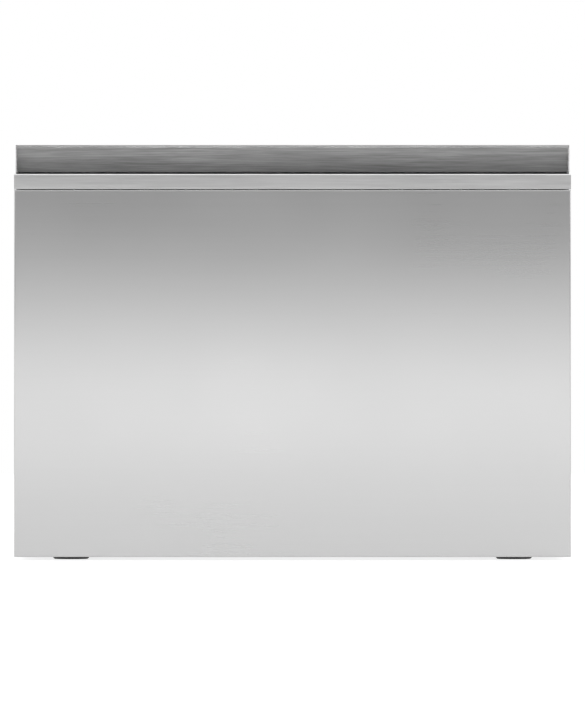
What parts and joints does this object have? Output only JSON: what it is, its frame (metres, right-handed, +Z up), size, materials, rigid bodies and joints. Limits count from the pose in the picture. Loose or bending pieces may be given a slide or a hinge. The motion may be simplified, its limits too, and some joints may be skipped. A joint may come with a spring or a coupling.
{
  "type": "dishwasher drawer",
  "caption": "Built-in single-drawer dishwasher with a brushed steel front, full-width finger recess, sliding tub, racks and a self-lowering tub lid.",
  "frame": {"origin": "on the floor under the centre of the appliance's bounding box", "axes": "+X to the right seen from the front, +Y from the front to the back, +Z up"},
  "size_m": [0.598, 0.573, 0.4465],
  "materials": {
    "case_steel": "galvanised, satin",
    "runner_steel": "zinc plated, smooth",
    "yoke_steel": "stamped plate",
    "front_steel": "horizontal brush",
    "rail_steel": "horizontal brush",
    "recess_steel": "horizontal brush, satin",
    "foot_rubber": "matte",
    "seal_rubber": "matte",
    "hose_rubber": "satin",
    "gear_plastic": "moulded",
    "motor_plastic": "moulded",
    "motor_metal": "black, satin",
    "valve_plastic": "moulded",
    "link_plastic": "moulded",
    "lid_plastic": "moulded",
    "inner_plastic": "moulded",
    "control_plastic": "fine grain",
    "window_plastic": "polished",
    "board_laminate": "solder mask",
    "tub_plastic": "satin",
    "heater_steel": "bright",
    "filter_plastic": "moulded",
    "dispenser_plastic": "moulded",
    "flap_plastic": "moulded",
    "basket_plastic": "moulded",
    "key_plastic": "smooth",
    "wire_coat": "nylon coated wire"
  },
  "bodies": {
    "chassis": {"chassis_base": "case_steel", "side_panel_left": "case_steel", "side_panel_right": "case_steel", "top_panel": "case_steel", "rear_panel": "case_steel", "foot_pads": "foot_rubber", "outer_runner_left": "runner_steel", "outer_runner_right": "runner_steel", "lid_guide_left": "case_steel", "lid_guide_right": "case_steel", "lid_motor_left": "motor_plastic", "lid_motor_right": "motor_plastic", "inlet_valve": "valve_plastic", "drain_spigot": "motor_plastic", "mains_terminal_box": "valve_plastic", "rear_hoses": "hose_rubber"},
    "mid_slide_left": {"mid_runner_left": "runner_steel"},
    "mid_slide_right": {"mid_runner_right": "runner_steel"},
    "link_rear": {"hose_link_rear": "link_plastic"},
    "link_front": {"hose_link_front": "link_plastic"},
    "lid": {"lid": "lid_plastic", "lid_seal": "seal_rubber"},
    "yoke_left": {"lid_yoke_left": "yoke_steel"},
    "yoke_right": {"lid_yoke_right": "yoke_steel"},
    "pinion_left": {"lid_pinion_left": "gear_plastic"},
    "pinion_right": {"lid_pinion_right": "gear_plastic"},
    "drawer": {"door_panel": "front_steel", "grip_rail": "rail_steel", "recess_panel": "recess_steel", "door_inner": "inner_plastic", "control_housing": "control_plastic", "display_window": "window_plastic", "control_board": "board_laminate", "tub": "tub_plastic", "tub_brackets": "case_steel", "inner_runner_left": "runner_steel", "inner_runner_right": "runner_steel", "wash_motor": "motor_metal", "heater_ring": "heater_steel", "filter_plate": "filter_plastic", "drain_filter": "filter_plastic", "tub_hose": "hose_rubber", "dispenser_housing": "dispenser_plastic", "rack_base": "wire_coat", "rack_front": "wire_coat", "rack_rear": "wire_coat", "rack_left": "wire_coat", "rack_right": "wire_coat", "cutlery_basket": "basket_plastic", "basket_handle": "basket_plastic"},
    "spray_arm": {"spray_arm": "filter_plastic"},
    "wash_rotor": {"wash_rotor": "gear_plastic"},
    "key_power": {"button_power": "key_plastic"},
    "key_program": {"button_program": "key_plastic"},
    "key_start": {"button_start": "key_plastic"},
    "flap": {"dispenser_flap": "flap_plastic"},
    "rinse_cap": {"rinse_cap": "dispenser_plastic"},
    "tines_left": {"plate_tines_left": "wire_coat"},
    "tines_right": {"plate_tines_right": "wire_coat"},
    "cup_rack": {"cup_rack": "wire_coat"}
  },
  "joints": [
    {"name": "drawer_slide", "type": "slide", "parent": "chassis", "child": "drawer", "axis": [0, -1, 0], "range_m": [0, 0.45]},
    {"name": "mid_slide_left", "type": "slide", "parent": "chassis", "child": "mid_slide_left", "axis": [0, -1, 0], "range_m": [0, 0.225]},
    {"name": "mid_slide_right", "type": "slide", "parent": "chassis", "child": "mid_slide_right", "axis": [0, -1, 0], "range_m": [0, 0.225]},
    {"name": "link_base_turn", "type": "hinge", "parent": "chassis", "child": "link_rear", "pos_m": [0.13, 0.258, 0.017], "axis": [0, 0, 1], "range_deg": [0, 69.8]},
    {"name": "link_elbow_turn", "type": "hinge", "parent": "link_rear", "child": "link_front", "pos_m": [-0.12859, 0.231, 0.0285], "axis": [0, 0, 1], "range_deg": [-139.6, 0]},
    {"name": "lid_lower", "type": "slide", "parent": "chassis", "child": "lid", "axis": [0, 0, -1], "range_m": [0, 0.008]},
    {"name": "yoke_left_slide", "type": "slide", "parent": "chassis", "child": "yoke_left", "axis": [0, 1, 0], "range_m": [0, 0.016]},
    {"name": "yoke_right_slide", "type": "slide", "parent": "chassis", "child": "yoke_right", "axis": [0, 1, 0], "range_m": [0, 0.016]},
    {"name": "pinion_left_turn", "type": "hinge", "parent": "chassis", "child": "pinion_left", "pos_m": [-0.268, 0.24, 0.4005], "axis": [-1, 0, 0], "range_deg": [0, 91.7]},
    {"name": "pinion_right_turn", "type": "hinge", "parent": "chassis", "child": "pinion_right", "pos_m": [0.268, 0.24, 0.4005], "axis": [-1, 0, 0], "range_deg": [0, 91.7]},
    {"name": "spray_arm_spin", "type": "hinge", "parent": "drawer", "child": "spray_arm", "pos_m": [0, -0.01, 0.1], "axis": [0, 0, 1], "continuous": true},
    {"name": "wash_rotor_spin", "type": "hinge", "parent": "drawer", "child": "wash_rotor", "pos_m": [0, -0.01, 0.075], "axis": [0, 0, 1], "continuous": true},
    {"name": "key_power_press", "type": "slide", "parent": "drawer", "child": "key_power", "axis": [0, 0, -1], "range_m": [0, 0.0008], "stiffness_N_per_m": 400},
    {"name": "key_program_press", "type": "slide", "parent": "drawer", "child": "key_program", "axis": [0, 0, -1], "range_m": [0, 0.0008], "stiffness_N_per_m": 400},
    {"name": "key_start_press", "type": "slide", "parent": "drawer", "child": "key_start", "axis": [0, 0, -1], "range_m": [0, 0.0008], "stiffness_N_per_m": 400},
    {"name": "flap_turn", "type": "hinge", "parent": "drawer", "child": "flap", "pos_m": [-0.028, -0.223, 0.31], "axis": [-1, 0, 0], "range_deg": [0, 100]},
    {"name": "rinse_cap_turn", "type": "hinge", "parent": "drawer", "child": "rinse_cap", "pos_m": [0.036, -0.226, 0.345], "axis": [0, 1, 0], "range_deg": [0, 90]},
    {"name": "tines_left_fold", "type": "hinge", "parent": "drawer", "child": "tines_left", "pos_m": [0.06, -0.01, 0.1465], "axis": [0, -1, 0], "range_deg": [0, 85]},
    {"name": "tines_right_fold", "type": "hinge", "parent": "drawer", "child": "tines_right", "pos_m": [0.16, -0.01, 0.1465], "axis": [0, -1, 0], "range_deg": [0, 85]},
    {"name": "cup_rack_fold", "type": "hinge", "parent": "drawer", "child": "cup_rack", "pos_m": [-0.226, -0.01, 0.252], "axis": [0, -1, 0], "range_deg": [0, 90]}
  ],
  "couplings": [
    {"joint": "mid_slide_left", "follows": "drawer_slide", "ratio": 0.5},
    {"joint": "mid_slide_right", "follows": "drawer_slide", "ratio": 0.5},
    {"joint": "link_base_turn", "follows": "drawer_slide", "rad_per_m": 2.7068},
    {"joint": "link_elbow_turn", "follows": "drawer_slide", "rad_per_m": -5.4136},
    {"joint": "yoke_left_slide", "follows": "lid_lower", "ratio": 2},
    {"joint": "yoke_right_slide", "follows": "lid_lower", "ratio": 2},
    {"joint": "pinion_left_turn", "follows": "lid_lower", "rad_per_m": 200},
    {"joint": "pinion_right_turn", "follows": "lid_lower", "rad_per_m": 200}
  ]
}
